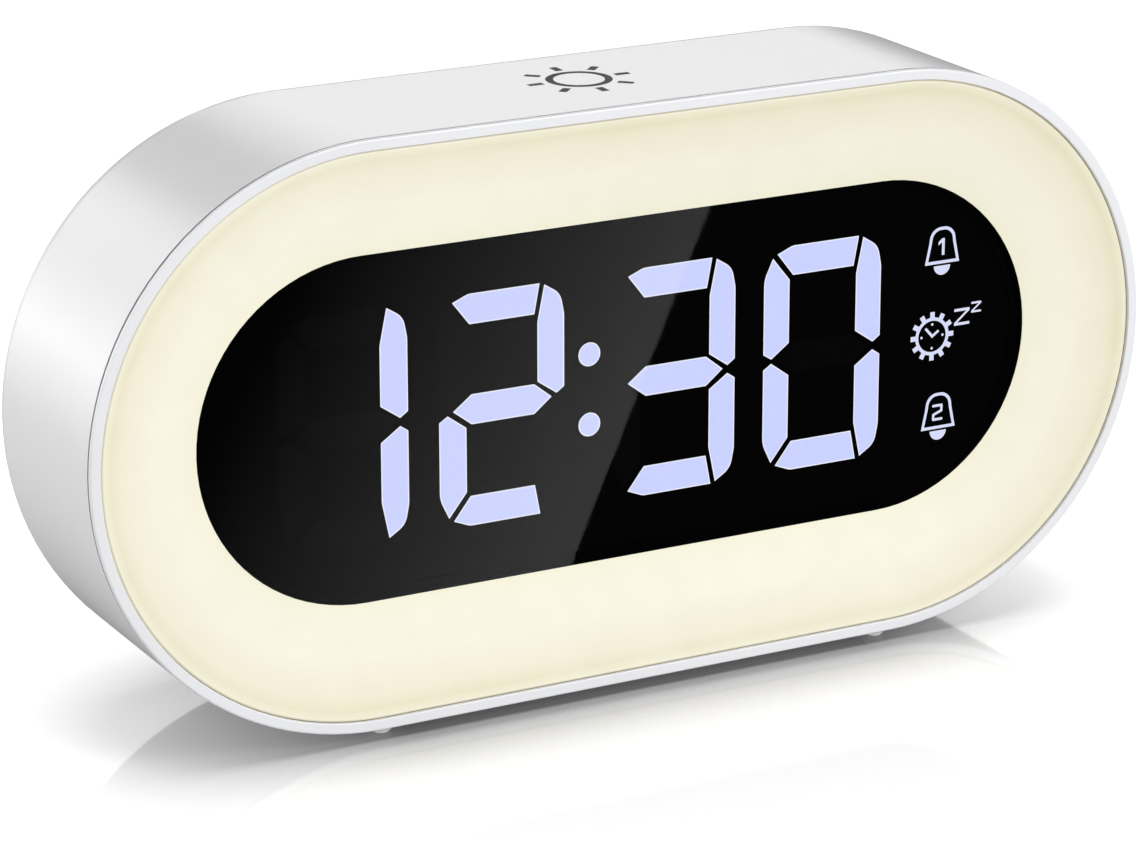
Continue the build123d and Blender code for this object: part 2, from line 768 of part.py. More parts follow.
def clock_crystal():
    """The crystal's can, standing upright on the board's front face."""
    outline = Pos(-14, 6) * Rot(0, 0, 90) * SlotOverall(8.0, 3.2)
    return slab(outline, MAIN_BOARD_DEPTH - 2.4, MAIN_BOARD_DEPTH)


def switch_body(x):
    """A square push switch with a well for its plunger."""
    body = block((x, BUTTON_HEIGHT), SWITCH_SIZE, SWITCH_SIZE, MAIN_BOARD_BACK, SWITCH_END)
    return body - post((x, BUTTON_HEIGHT), PLUNGER_RADIUS + 0.08, SWITCH_END - 1.4, SWITCH_END)


def power_inlet():
    """A round low-voltage socket whose nose reaches through the cover."""
    body = block(INLET_AT, 9.0, 9.0, MAIN_BOARD_BACK, COVER_DEPTH)
    nose = post(INLET_AT, INLET_NOSE, COVER_DEPTH, INLET_MOUTH)
    return body + nose - post(INLET_AT, INLET_BORE, INLET_FLOOR, INLET_MOUTH)


def inlet_pin():
    """The centre contact, rounded at its tip."""
    pin = post(INLET_AT, 0.65, INLET_FLOOR, INLET_MOUTH - 0.6)
    tip = pin.edges().group_by(Axis.Y)[-1]
    return fillet(tip, 0.4)


def speaker_frame():
    """The pressed steel basket."""
    profile = closed_outline(
        [
            (0, BASKET_DEPTH),
            (8.5, BASKET_DEPTH),
            (12.2, 29.6),
            (SPEAKER_RADIUS, 29.6),
            (SPEAKER_RADIUS, COVER_DEPTH),
            (12.0, COVER_DEPTH),
            (12.0, 30.4),
            (8.2, 27.4),
            (0, 27.4),
        ]
    )
    return turned(profile, SPEAKER_AT)


def speaker_cone():
    """The paper cone with its raised dust cap."""
    profile = [(0, 28.9), (3.4, 28.4), (11.6, 30.4), (11.6, 30.75), (3.6, 28.9), (0, 29.4)]
    return turned(closed_outline(profile), SPEAKER_AT)


def speaker_leads():
    """The two short wires from the basket's terminals to the board."""
    x, height = SPEAKER_AT
    places = [(x + 7.6, height + step) for step in (-1.5, 1.5)]
    return posts(places, 0.45, MAIN_BOARD_BACK, BASKET_DEPTH)


def touch_plate():
    """The foil electrode stuck under the top wall, below the mark."""
    top = CENTRE_Z + CASE_RADIUS - WALL
    plane = Plane(origin=(MARK_X, FRONT_Y + MARK_DEPTH, top))
    return extrude(plane * RectangleRounded(16.0, 13.0, 2.0), amount=-0.3)


def touch_lead():
    """The wire from the electrode down to the main board's front face."""
    route = [(20.0, CASE_RADIUS - WALL - 0.3), (20.0, 31.5), (21.1, 27.0), (21.1, 20.0)]
    points = [(6.0, FRONT_Y + depth, CENTRE_Z + height) for depth, height in route]
    path = FilletPolyline(*points, radius=2.0)
    return sweep(Plane(origin=points[0], z_dir=(0, 0, -1)) * Circle(0.4), path)


def cell_contact_negative():
    """The strip on the floor of the cell bay, with its tail to the board."""
    x, height = CELL_AT
    face = CELL_FLOOR + CONTACT_THICKNESS
    strip = block(CELL_AT, 10.0, 4.0, CELL_FLOOR, face)
    dome = post(CELL_AT, 1.5, face, CELL_FLOOR + CONTACT_SPRING)
    return strip + dome + post((x + NEGATIVE_TAIL, height), 0.4, MAIN_BOARD_BACK, CELL_FLOOR)


def cell_contact_positive():
    """The curved strip on the bay's wall, with its tail to the board."""
    x, height = CELL_AT
    inside = CELL_RADIUS + 0.25
    ring = Circle(inside + CONTACT_THICKNESS) - Circle(inside)
    wedge = Pos(CELL_RADIUS, 0) * Rectangle(3.0, 4.0)
    strip = slab(Pos(*CELL_AT) * (ring & wedge), CELL_FLOOR, COVER_DEPTH)
    tail_end = CELL_FLOOR + CONTACT_SPRING
    return strip + post((x + POSITIVE_TAIL, height), 0.35, MAIN_BOARD_BACK, tail_end)


def coin_cell():
    """The backup cell: a can with a smaller crimped cap on its inner side."""
    near = CELL_FLOOR + CONTACT_SPRING
    cap = post(CELL_AT, CELL_RADIUS - 1.2, near, near + 0.5)
    can = post(CELL_AT, CELL_RADIUS, near + 0.5, near + CELL_THICKNESS)
    return cap + fillet(can.edges().group_by(Axis.Y)[-1], 0.3)


# --- Rear cover, buttons and battery door --------------------------------------------


def grille_places():
    """Hexagonal rings of holes in front of the speaker."""
    x, height = SPEAKER_AT
    span = range(-GRILLE_RINGS, GRILLE_RINGS + 1)
    row_pitch = GRILLE_PITCH * math.sin(math.radians(60))
    return [
        (x + GRILLE_PITCH * (column + row / 2), height + row_pitch * row)
        for row in span
        for column in span
        if abs(column + row) <= GRILLE_RINGS
    ]


def cover_body():
    """The plate with its board posts, the walls of the cell bay and the speaker ring."""
    body = stadium_slab(COVER_EDGE - COVER_FIT, COVER_DEPTH, CASE_DEPTH)
    body += posts(BOARD_POSTS, 2.5, MAIN_BOARD_BACK, COVER_DEPTH)
    body += post(CELL_AT, CELL_RADIUS + 1.7, CELL_FLOOR - BAY_FLOOR, COVER_DEPTH)
    ring = Circle(SPEAKER_RADIUS + 1.3) - Circle(SPEAKER_RADIUS + EASE)
    return body + slab(Pos(*SPEAKER_AT) * ring, 28.6, COVER_DEPTH)


def finger_notch():
    """The hollow at the door's upper edge that a fingernail goes into."""
    x, height = CELL_AT
    edge = height + DOOR_SIZE / 2 + DOOR_GAP
    return slab(Pos(x, edge) * SlotOverall(9.0, 3.0), CASE_DEPTH - NOTCH_DEPTH, CASE_DEPTH)


def door_openings():
    """What the cover loses for the cell, its contacts' tails, the door and the door's legs."""
    x, height = CELL_AT
    width = DOOR_SIZE + 2 * DOOR_GAP
    bay = post(CELL_AT, CELL_RADIUS + 0.6, CELL_FLOOR, CASE_DEPTH)
    recess = slab(Pos(*CELL_AT) * RectangleRounded(width, width, 3.0), DOOR_DEPTH, CASE_DEPTH)
    slots = [
        block((x + across, height + up), 3.0, 1.6, COVER_DEPTH, DOOR_DEPTH)
        for across, up in DOOR_LEGS
    ]
    floor_near = CELL_FLOOR - BAY_FLOOR
    negative = post((x + NEGATIVE_TAIL, height), 0.55, floor_near, CELL_FLOOR)
    positive = post((x + POSITIVE_TAIL, height), 0.5, floor_near, CELL_FLOOR + CONTACT_SPRING)
    return [bay, recess, finger_notch(), negative, positive, *slots]


def cover_holes():
    """The cover's round holes: for buttons, sound, the inlet and screws."""
    button_holes = [(x, BUTTON_HEIGHT) for x in BUTTON_X]
    return [
        *posts(button_holes, BUTTON_RADIUS + BUTTON_GAP, COVER_DEPTH, CASE_DEPTH),
        *posts(grille_places(), GRILLE_HOLE, COVER_DEPTH, CASE_DEPTH),
        post(INLET_AT, INLET_NOSE + 0.2, COVER_DEPTH, CASE_DEPTH),
        *posts(COVER_POSTS, COVER_SCREW + 0.2, COVER_DEPTH, CASE_DEPTH),
        *posts(COVER_POSTS, 2.6, COVER_HEAD_DEPTH, CASE_DEPTH),
        *posts(BOARD_POSTS, SMALL_SCREW + SCREW_FIT, MAIN_BOARD_BACK, BOARD_SCREW_END + 0.5),
    ]


def rear_cover():
    """The plate that closes the back."""
    return cover_body() - door_openings() - cover_holes()


def battery_door():
    """The lift-off door: a plate with four legs and a row of grip ribs."""
    x, height = CELL_AT
    plate = slab(
        Pos(*CELL_AT) * RectangleRounded(DOOR_SIZE, DOOR_SIZE, 2.7), DOOR_DEPTH, CASE_DEPTH
    )
    for across, up in DOOR_LEGS:
        plate += block((x + across, height + up), 2.4, 1.0, 29.7, DOOR_DEPTH)
    for row in range(4):
        rib_place = (x, height + 5.0 + 1.5 * row)
        plate += slab(Pos(*rib_place) * SlotOverall(10.0, 0.7), CASE_DEPTH, CASE_DEPTH + 0.3)
    return plate


def button_marks():
    """Each button's engraved sign: clock, one bar, minus, plus, two bars."""
    dial = [Circle(2.3) - Circle(1.9), stroke((0, -0.2), (0, 1.4), 0.4)]
    dial.append(stroke((-0.2, 0), (1.1, 0), 0.4))
    minus = Rectangle(3.2, 0.6)
    plus = minus + Rectangle(0.6, 3.2)
    return {
        "time_set_button": dial[0] + (dial[1] + dial[2]),
        "alarm_1_button": Rectangle(0.6, 3.2),
        "down_button": minus,
        "up_button": plus,
        "alarm_2_button": Pos(-0.8, 0) * Rectangle(0.6, 3.2) + Pos(0.8, 0) * Rectangle(0.6, 3.2),
    }


def button(x, mark):
    """A cap with the flange that keeps it behind the cover, and its engraved sign."""
    place = (x, BUTTON_HEIGHT)
    top = CASE_DEPTH + BUTTON_PROUD
    cap = post(place, BUTTON_RADIUS, CAP_NEAR, top)
    cap = fillet(cap.edges().group_by(Axis.Y)[-1], 0.5)
    cap += post(place, BUTTON_RADIUS + 1.0, CAP_NEAR, CAP_NEAR + 0.6)
    cap += post(place, 2.2, PLUNGER_END, CAP_NEAR)
    return cap - slab(Pos(*place) * mark, top - SIGN_DEPTH, top)


def plunger(x):
    return post((x, BUTTON_HEIGHT), PLUNGER_RADIUS, SWITCH_END - 0.8, PLUNGER_END)


# --- Output --------------------------------------------------------------------------


def save_case():
    save("housing", housing())
    save("front_bezel", front_bezel())
    save("light_diffuser", light_diffuser())
    for end, depth in (("front", FRONT_FOOT_DEPTH), ("rear", REAR_FOOT_DEPTH)):
        save(f"{end}_left_foot", foot(-1, depth))
        save(f"{end}_right_foot", foot(1, depth))
    inlay = [extrude(face, amount=MARK_INLAY) for face in touch_mark_outline()]
    save_group("touch_mark", inlay)


def save_light():
    save("light_tray", light_tray())
    save("ring_board", ring_board())
    save_group("ring_leds", ring_leds())
    screws = [screw(place, SMALL_SCREW, 1.8, LUG_FAR, 1.3, 5.2) for place in TRAY_LUGS]
    save_group("tray_screws", screws)


def save_electronics():
    save("main_board", main_board())
    save("controller_chip", chip((14.0, 4.0), 10.0, 10.0, MAIN_BOARD_DEPTH - 1.5, 1.5))
    save("clock_crystal", clock_crystal())
    save_group("capacitors", capacitors())
    save_group("switch_bodies", [switch_body(x) for x in BUTTON_X])
    save_group("socket_strips", socket_strips())
    save_group("pin_strips", pin_strips())
    save("power_inlet", power_inlet())
    save("inlet_pin", inlet_pin())
    save("speaker_frame", speaker_frame())
    save("speaker_cone", speaker_cone())
    save("speaker_magnet", post(SPEAKER_AT, 6.5, 24.2, BASKET_DEPTH))
    save_group("speaker_leads", speaker_leads())
    save("touch_plate", touch_plate())
    save("touch_lead", touch_lead())
    save("cell_contact_negative", cell_contact_negative())
    save("cell_contact_positive", cell_contact_positive())
    save("coin_cell", coin_cell())


def save_rear():
    save("rear_cover", rear_cover())
    save("battery_door", battery_door())
    marks = button_marks()
    for x, name in zip(reversed(BUTTON_X), marks):
        save(name, button(x, marks[name]))
        save(name.replace("_button", "_plunger"), plunger(x))
    save_group("board_screws", [board_screw(place) for place in BOARD_POSTS])
    screws = [screw(place, COVER_SCREW, 2.3, COVER_HEAD_DEPTH, 1.0, 8.0) for place in COVER_POSTS]
    save_group("cover_screws", screws)


os.makedirs("parts", exist_ok=True)
save_case()
save_light()
save_display()
save_electronics()
save_rear()
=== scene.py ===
import json
import math

import bmesh
import bpy
from mathutils import Matrix, Vector


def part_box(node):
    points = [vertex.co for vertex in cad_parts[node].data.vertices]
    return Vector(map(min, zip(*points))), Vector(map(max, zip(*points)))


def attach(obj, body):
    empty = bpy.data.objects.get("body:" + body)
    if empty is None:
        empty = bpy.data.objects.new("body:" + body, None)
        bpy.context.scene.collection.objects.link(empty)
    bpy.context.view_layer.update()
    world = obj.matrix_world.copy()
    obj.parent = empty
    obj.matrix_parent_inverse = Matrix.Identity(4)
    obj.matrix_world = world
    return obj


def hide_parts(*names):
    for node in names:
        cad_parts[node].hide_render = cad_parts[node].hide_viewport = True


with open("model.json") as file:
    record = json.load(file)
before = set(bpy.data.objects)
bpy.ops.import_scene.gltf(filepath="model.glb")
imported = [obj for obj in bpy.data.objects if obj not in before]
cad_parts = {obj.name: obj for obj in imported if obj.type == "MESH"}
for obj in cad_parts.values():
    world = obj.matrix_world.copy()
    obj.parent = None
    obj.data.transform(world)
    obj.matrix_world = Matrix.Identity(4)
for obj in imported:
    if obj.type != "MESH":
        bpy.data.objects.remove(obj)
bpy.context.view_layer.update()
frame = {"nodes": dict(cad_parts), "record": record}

# The looks of a digital alarm clock: a gloss white case, a dished night light and a smoked
# display. Metres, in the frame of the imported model: +X right, +Y back, +Z up.

MM = 0.001
CASE_LOW, CASE_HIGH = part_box("housing")
CASE_RADIUS = (CASE_HIGH.z - CASE_LOW.z) / 2
CENTRE_Z = (CASE_HIGH.z + CASE_LOW.z) / 2
SPINE_HALF = CASE_HIGH.x - CASE_RADIUS
FRONT_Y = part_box("front_bezel")[0].y
LENS_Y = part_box("display_lens")[0].y
LENS_RADIUS = (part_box("display_lens")[1].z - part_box("display_lens")[0].z) / 2

CAMERA_AT = Vector((-0.2714, -0.5027, 0.2171))
CAMERA_YAW = 28.166  # to the right of +Y
CAMERA_PITCH = 17.942  # below the horizon
CAMERA_ROLL = -0.067
CAMERA_LENS = 138.77
SENSOR_WIDTH = 36.0


# --- Building materials ----------------------------------------------------------------


class Shader:
    """One procedural material, built node by node. Patterns are laid in the part's own space."""

    def __init__(self, name):
        self.material = bpy.data.materials.new(name)
        self.material.use_nodes = True
        self.nodes = self.material.node_tree.nodes
        self.links = self.material.node_tree.links
        self.surface = self.nodes["Principled BSDF"]
        self.place = self.add("ShaderNodeTexCoord").outputs["Object"]

    def add(self, kind, inputs=None, **settings):
        node = self.nodes.new(kind)
        for key, value in settings.items():
            setattr(node, key, value)
        for key, value in (inputs or {}).items():
            self.feed(node.inputs[key], value)
        return node

    def feed(self, socket, value):
        """Gives a socket either a plain value or another node's output."""
        if isinstance(value, bpy.types.NodeSocket):
            self.links.new(value, socket)
        elif hasattr(value, "__len__") and len(value) == 3 and socket.type == "RGBA":
            socket.default_value = (*value, 1.0)
        else:
            socket.default_value = value

    def set(self, **values):
        """Sets the surface's sockets; an underscore stands for a space in a socket's name."""
        for key, value in values.items():
            self.feed(self.surface.inputs[key.replace("_", " ")], value)

    def math(self, operation, first, second=0.0):
        node = self.add("ShaderNodeMath", operation=operation)
        self.feed(node.inputs[0], first)
        self.feed(node.inputs[1], second)
        return node.outputs[0]

    def split(self, vector=None):
        node = self.add("ShaderNodeSeparateXYZ", {"Vector": vector or self.place})
        return node.outputs["X"], node.outputs["Y"], node.outputs["Z"]

    def stretched(self, factors):
        node = self.add("ShaderNodeVectorMath", operation="MULTIPLY")
        self.feed(node.inputs[0], self.place)
        self.feed(node.inputs[1], factors)
        return node.outputs["Vector"]

    def noise(self, size, detail=2.0, vector=None):
        """Noise whose features are about size metres across, from 0 to 1."""
        inputs = {"Scale": 1 / size, "Detail": detail, "Vector": vector or self.place}
        return self.add("ShaderNodeTexNoise", inputs).outputs["Fac"]

    def spread(self, value, low, high, from_low=0.3, from_high=0.7):
        """Carries a value from one range to another, held at its ends."""
        inputs = {
            "Value": value,
            "From Min": from_low,
            "From Max": from_high,
            "To Min": low,
            "To Max": high,
        }
        return self.add("ShaderNodeMapRange", inputs).outputs["Result"]

    def mix(self, factor, first, second):
        node = self.add("ShaderNodeMix", data_type="RGBA")
        self.feed(node.inputs["Factor"], factor)
        self.feed(node.inputs[6], first)
        self.feed(node.inputs[7], second)
        return node.outputs[2]

    def ramp(self, value, stops):
        """Colours at places from 0 to 1, blended smoothly."""
        node = self.add("ShaderNodeValToRGB", {"Fac": value})
        elements = node.color_ramp.elements
        while len(elements) < len(stops):
            elements.new(0.5)
        for element, (position, colour) in zip(elements, stops):
            element.position = position
            element.color = (*colour, 1.0)
        return node.outputs["Color"]

    def bump(self, height, depth, normal=None):
        """Turns a height from 0 to 1 into relief that is depth metres deep."""
        inputs = {"Height": height, "Distance": depth, "Strength": 1.0}
        if normal is not None:
            inputs["Normal"] = normal
        return self.add("ShaderNodeBump", inputs).outputs["Normal"]

    def plain_colour(self):
        """The colour that the surface has so far, to be mixed with another."""
        return self.surface.inputs["Base Color"].links[0].from_socket

    def shine(self, level):
        """Makes the material nothing but white light of the given level."""
        glow = self.add("ShaderNodeEmission", {"Strength": level}).outputs[0]
        self.links.new(glow, self.nodes["Material Output"].inputs["Surface"])
        return self.material


def display_colour(red, green, blue):
    """A colour as a display's 0 to 255 values, turned into the linear values of a shader."""

    def linear(value):
        share = value / 255
        return share / 12.92 if share <= 0.04045 else ((share + 0.055) / 1.055) ** 2.4

    return tuple(linear(value) for value in (red, green, blue))


def tinted(colour, factor):
    return tuple(min(1.0, value * factor) for value in colour)


def moulded(
    name, colour, roughness, grain=0.3 * MM, depth=0.004 * MM, mottle=0.02, uneven=0.03, **surface
):
    """Moulded plastic or rubber: an even colour with faint flow, a fine skin and its grain."""
    shader = Shader(name)
    flow = shader.spread(shader.noise(14 * MM, 3.0), 0.0, 1.0)
    shader.set(Base_Color=shader.mix(flow, tinted(colour, 1 - mottle), tinted(colour, 1 + mottle)))
    if uneven:
        patches = shader.noise(12 * MM, 2.0)
        roughness = shader.spread(patches, roughness - uneven, roughness + uneven)
    shader.set(Roughness=roughness, Normal=shader.bump(shader.noise(grain, 3.0), depth))
    shader.set(**surface)
    return shader


def metal(name, colour, roughness, along=(1, 1, 1), depth=0.002 * MM):
    """Drawn or plated metal: streaks that run along the axis with the smallest factor."""
    shader = Shader(name)
    streaks = shader.noise(0.25 * MM, 3.0, shader.stretched(along))
    tone = shader.spread(streaks, 0.0, 1.0)
    shader.set(Base_Color=shader.mix(tone, tinted(colour, 0.88), tinted(colour, 1.08)))
    shader.set(Metallic=1.0, Roughness=shader.spread(streaks, roughness - 0.08, roughness + 0.1))
    shader.set(Normal=shader.bump(streaks, depth))
    return shader


def line_distance(shader, across):
    """How far a point is from the clock's middle line, given how far across from it it lies."""
    x, _, _ = shader.split()
    past_end = shader.math("SUBTRACT", shader.math("ABSOLUTE", x), SPINE_HALF)
    past_end = shader.math("MAXIMUM", past_end)
    squares = shader.math(
        "ADD", shader.math("MULTIPLY", past_end, past_end), shader.math("MULTIPLY", across, across)
    )
    return shader.math("SQRT", squares)


def spine_distance(shader):
    """How far a point is from the case's middle line, seen from the front."""
    _, _, z = shader.split()
    return line_distance(shader, shader.math("SUBTRACT", z, CENTRE_Z))


# --- Case and night light --------------------------------------------------------------


SEAM_FRONT = 0.52 * MM  # behind the rim
SEAM_BACK = 1.0 * MM
# painted shade for the groove behind the rim
GROOVE_PAINTED_SHADE = (0.28, 0.28, 0.285)
SKIN = 0.015 * MM


def with_painted_groove_shade(shader):
    """Paints shade into what lies below the outer skin close behind the rim: a painted shadow in
    the groove, where light hardly gets in.
    """
    _, y, _ = shader.split()
    sunk = shader.math("LESS_THAN", spine_distance(shader), CASE_RADIUS - SKIN)
    behind = shader.math("GREATER_THAN", y, FRONT_Y + SEAM_FRONT)
    close = shader.math("LESS_THAN", y, FRONT_Y + SEAM_BACK)
    shaded_band = shader.math("MULTIPLY", sunk, shader.math("MULTIPLY", behind, close))
    # the groove's painted shadow goes into the colour
    shader.set(Base_Color=shader.mix(shaded_band, shader.plain_colour(), GROOVE_PAINTED_SHADE))
    return shader


def case_white():
    """Polished plastic whose skin is only slightly wavy."""
    return with_painted_groove_shade(
        moulded("case_white", (0.72, 0.72, 0.73), 0.27, 9 * MM, 0.001 * MM, 0.006, uneven=0.0)
    )


def bezel_white():
    return with_painted_groove_shade(
        moulded("bezel_white", (0.72, 0.725, 0.745), 0.33, 0.22 * MM, 0.0012 * MM, 0.015)
    )


RING_GLOW_AND_PAINTED_LIGHT = [
    # distance from the middle line in millimetres, and the glow as seen there; the bright stops at
    # 37.9 and 38.1 are a painted highlight on the outer lip, and the last two a painted shade at
    # its edge
    (23.6, (243, 241, 217)),
    (26.5, (248, 243, 224)),
    (30.5, (248, 243, 224)),
    (33.0, (244, 239, 219)),
    (35.5, (241, 236, 212)),
    (37.0, (234, 229, 200)),
    (37.9, (240, 236, 210)),
    (38.1, (244, 241, 220)),
    (38.25, (222, 216, 194)),
    (38.4, (214, 208, 186)),
]
STUDIO_ON_RING = (0.33, 0.33, 0.308)  # what the ring already sends back of the studio's light


def own_glow(seen):
    """The glow that makes up a seen colour, once the studio's light is taken off."""
    pairs = zip(display_colour(*seen), STUDIO_ON_RING)
    return tuple(max(0.0, value - studio) for value, studio in pairs)


PAINT_REACH = 0.4 * MM  # how far from the lens's edge the paint lies
PAINT_START = 0.06 * MM  # how far behind the lens's face it starts


def wall_paint(shader):
    """One on the ring's inner wall, whose black paint keeps its light off the display."""
    _, y, _ = shader.split()
    inner = shader.math("LESS_THAN", spine_distance(shader), LENS_RADIUS + PAINT_REACH)
    below_lens = shader.math("GREATER_THAN", y, LENS_Y + PAINT_START)
    return shader.math("MULTIPLY", inner, below_lens)


def diffuser_milk():
    """A milky ring lit from behind, warmest and dimmest just inside the rim; its glow also holds a
    painted highlight on the outer lip and painted shade at its very edge.
    """
    shader = Shader("diffuser_milk")
    first, last = RING_GLOW_AND_PAINTED_LIGHT[0][0], RING_GLOW_AND_PAINTED_LIGHT[-1][0]
    across = shader.spread(spine_distance(shader), 0.0, 1.0, first * MM, last * MM)
    stops = [((at - first) / (last - first), own_glow(seen)) for at, seen in RING_GLOW_AND_PAINTED_LIGHT]
    # the glow ramp, with the outer lip's painted highlight and painted edge shade
    glow = shader.ramp(across, stops)
    cloud = shader.spread(shader.noise(30 * MM, 2.0), 0.0, 1.0)
    glow = shader.mix(cloud, glow, shader.mix(0.15, glow, own_glow((251, 248, 234))))
    masked = wall_paint(shader)
    shader.set(Emission_Color=shader.mix(masked, glow, (0, 0, 0)), Emission_Strength=1.0)
    skin = shader.spread(shader.noise(5 * MM, 3.0), 0.0, 1.0)
    milk = shader.mix(skin, (0.26, 0.255, 0.24), (0.28, 0.275, 0.26))
    shader.set(Base_Color=shader.mix(masked, milk, (0.001, 0.001, 0.001)))
    shader.set(Roughness=shader.spread(shader.noise(2 * MM), 0.36, 0.44))
    shader.set(Normal=shader.bump(shader.noise(0.25 * MM, 2.0), 0.002 * MM))
    return shader


def mark_grey():
    return moulded("mark_grey", (0.018, 0.018, 0.02), 0.6, 0.12 * MM, 0.002 * MM, 0.15)


def foot_rubber():
    return moulded("foot_rubber", (0.78, 0.78, 0.80), 0.55, 0.2 * MM, 0.01 * MM, 0.02)


# --- Display ---------------------------------------------------------------------------


LENS_FACE = 0.3 * MM  # the front part of the lens, the only one that is polished


def lens_smoke():
    """Polished smoked acrylic: thin enough to see the digits, black where nothing is lit."""
    shader = Shader("lens_smoke")
    tint = shader.spread(shader.noise(40 * MM), 0.0, 1.0)
    shader.set(Base_Color=shader.mix(tint, (0.0004, 0.0004, 0.0005), (0.0008, 0.0008, 0.0009)))
    shader.set(Roughness=shader.spread(shader.noise(6 * MM, 4.0), 0.015, 0.03), IOR=1.49)
    shader.set(Normal=shader.bump(shader.noise(25 * MM, 1.0), 0.001 * MM), Alpha=0.3)
    _, y, _ = shader.split()
    front = shader.math("LESS_THAN", y, LENS_Y + LENS_FACE)
    shader.set(Specular_IOR_Level=shader.math("MULTIPLY", front, 0.5))
    return shader


def gasket_black():
    dull = {"Specular_IOR_Level": 0.05}
    return moulded("gasket_black", (0.001, 0.001, 0.0011), 0.85, 0.15 * MM, 0.03 * MM, 0.2, **dull)


def display_black():
    """Flock-like matt black, so that nothing but the lit shapes shows through the lens."""
    dull = {"Specular_IOR_Level": 0.05}
    return moulded("display_black", (0.0008, 0.0008, 0.0009), 0.8, 0.2 * MM, 0.01 * MM, 0.1, **dull)


def segment_glow(name, colour, strength):
    """Resin lit from below: an even colour that falls off a little between its grains."""
    shader = Shader(name)
    grain = shader.spread(shader.noise(0.6 * MM, 3.0), 0.0, 1.0)
    shader.set(Emission_Color=shader.mix(grain, tinted(colour, 0.97), colour))
    shader.set(Emission_Strength=strength, Base_Color=(0.08, 0.08, 0.1))
    shader.set(Roughness=shader.spread(shader.noise(1 * MM), 0.5, 0.6))
    shader.set(Normal=shader.bump(shader.noise(0.15 * MM), 0.002 * MM))
    return shader


def segment_dark():
    dull = {"Specular_IOR_Level": 0.1}
    return moulded("segment_dark", (0.0012, 0.0012, 0.0014), 0.6, 0.2 * MM, 0.006 * MM, 0.1, **dull)


LENS_PASSES = 0.49  # the share of light that gets through the lens's two faces
DIGIT_OUTLINE = 0.14 * MM
ICON_OUTLINE = 0.05 * MM


def lit_piece(node, edge, fill, outline):
    """A lit shape of the display, with a brighter line of the given width round its face."""
    source = frame["nodes"][node]
    mesh = source.data.copy()
    grid = bmesh.new()
    grid.from_mesh(mesh)
    bmesh.ops.remove_doubles(grid, verts=grid.verts, dist=1e-7)
    face = [f for f in grid.faces if f.normal.y < -0.99]
    rim = bmesh.ops.inset_region(grid, faces=face, thickness=edge, use_even_offset=True)
    mesh.materials.clear()
    mesh.materials.append(fill.material)
    mesh.materials.append(outline.material)
    for one in grid.faces:
        one.material_index = 0
        one.smooth = False
    for one in rim["faces"]:
        one.material_index = 1
    grid.to_mesh(mesh)
    grid.free()
    piece = bpy.data.objects.new(f"{node}_lit", mesh)
    bpy.context.scene.collection.objects.link(piece)
    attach(piece, "clock")
    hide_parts(node)


def light_display():
    strength = 1 / LENS_PASSES
    fill = segment_glow("segment_lit", display_colour(200, 208, 255), strength)
    icon = segment_glow("icon_lit", display_colour(213, 218, 252), strength)
    outline = segment_glow("segment_outline", display_colour(243, 245, 255), strength)
    for node in ("hour_tens", "hour_units", "minute_tens", "minute_units"):
        lit_piece(f"{node}_segments", DIGIT_OUTLINE, fill, outline)
    lit_piece("colon_dots", DIGIT_OUTLINE, fill, outline)
    for node in ("alarm_1_icon", "snooze_icon", "alarm_2_icon"):
        lit_piece(node, ICON_OUTLINE, icon, outline)


# --- Electronics -----------------------------------------------------------------------


def board_green():
    """Solder mask over tracks that run one way, then the other, in blocks."""
    shader = Shader("board_green")
    x, _, z = shader.split()
    block = shader.add("ShaderNodeTexChecker", {"Vector": shader.place, "Scale": 1 / (7 * MM)})
    turn = block.outputs["Fac"]

    def lines(along):
        return shader.math("FRACT", shader.math("MULTIPLY", along, 1 / (1.1 * MM)))

    run = shader.math(
        "ADD",
        shader.math("MULTIPLY", lines(x), turn),
        shader.math("MULTIPLY", lines(z), shader.math("SUBTRACT", 1.0, turn)),
    )
    track = shader.math("LESS_THAN", run, 0.42)
    mask = shader.mix(track, (0.012, 0.11, 0.045), (0.03, 0.2, 0.085))
    shader.set(Base_Color=mask, Roughness=shader.spread(shader.noise(2 * MM), 0.25, 0.38))
    shader.set(Normal=shader.bump(track, 0.02 * MM), Coat_Weight=0.3)
    return shader


def chip_black():
    return moulded("chip_black", (0.02, 0.02, 0.021), 0.5, 0.1 * MM, 0.012 * MM, 0.15)


def led_resin():
    return moulded("led_resin", (0.85, 0.68, 0.22), 0.25, 0.4 * MM, 0.004 * MM, 0.08)


def capacitor_sleeve():
    return moulded("capacitor_sleeve", (0.02, 0.028, 0.12), 0.3, 0.5 * MM, 0.006 * MM, 0.1)


def wire_jacket():
    return moulded("wire_jacket", (0.42, 0.03, 0.02), 0.45, 0.3 * MM, 0.008 * MM, 0.06)


def cone_paper():
    """Pressed paper with its fibres."""
    shader = Shader("cone_paper")
    fibre = shader.noise(0.3 * MM, 6.0, shader.stretched((1.0, 1.0, 0.35)))
    shader.set(Base_Color=shader.mix(fibre, (0.012, 0.012, 0.013), (0.06, 0.058, 0.055)))
    shader.set(Roughness=shader.spread(fibre, 0.75, 0.95), Normal=shader.bump(fibre, 0.04 * MM))
    return shader


# --- Rear ------------------------------------------------------------------------------


SIGN_DEPTH = 0.25 * MM  # how deep the buttons' signs are engraved
SIGN_REACH = 2.5 * MM  # no sign reaches further from the middle of its button
SIGN_GREY = (0.10, 0.10, 0.11)


def cover_white():
    return moulded("cover_white", (0.70, 0.70, 0.71), 0.48, 0.28 * MM, 0.02 * MM, 0.015)


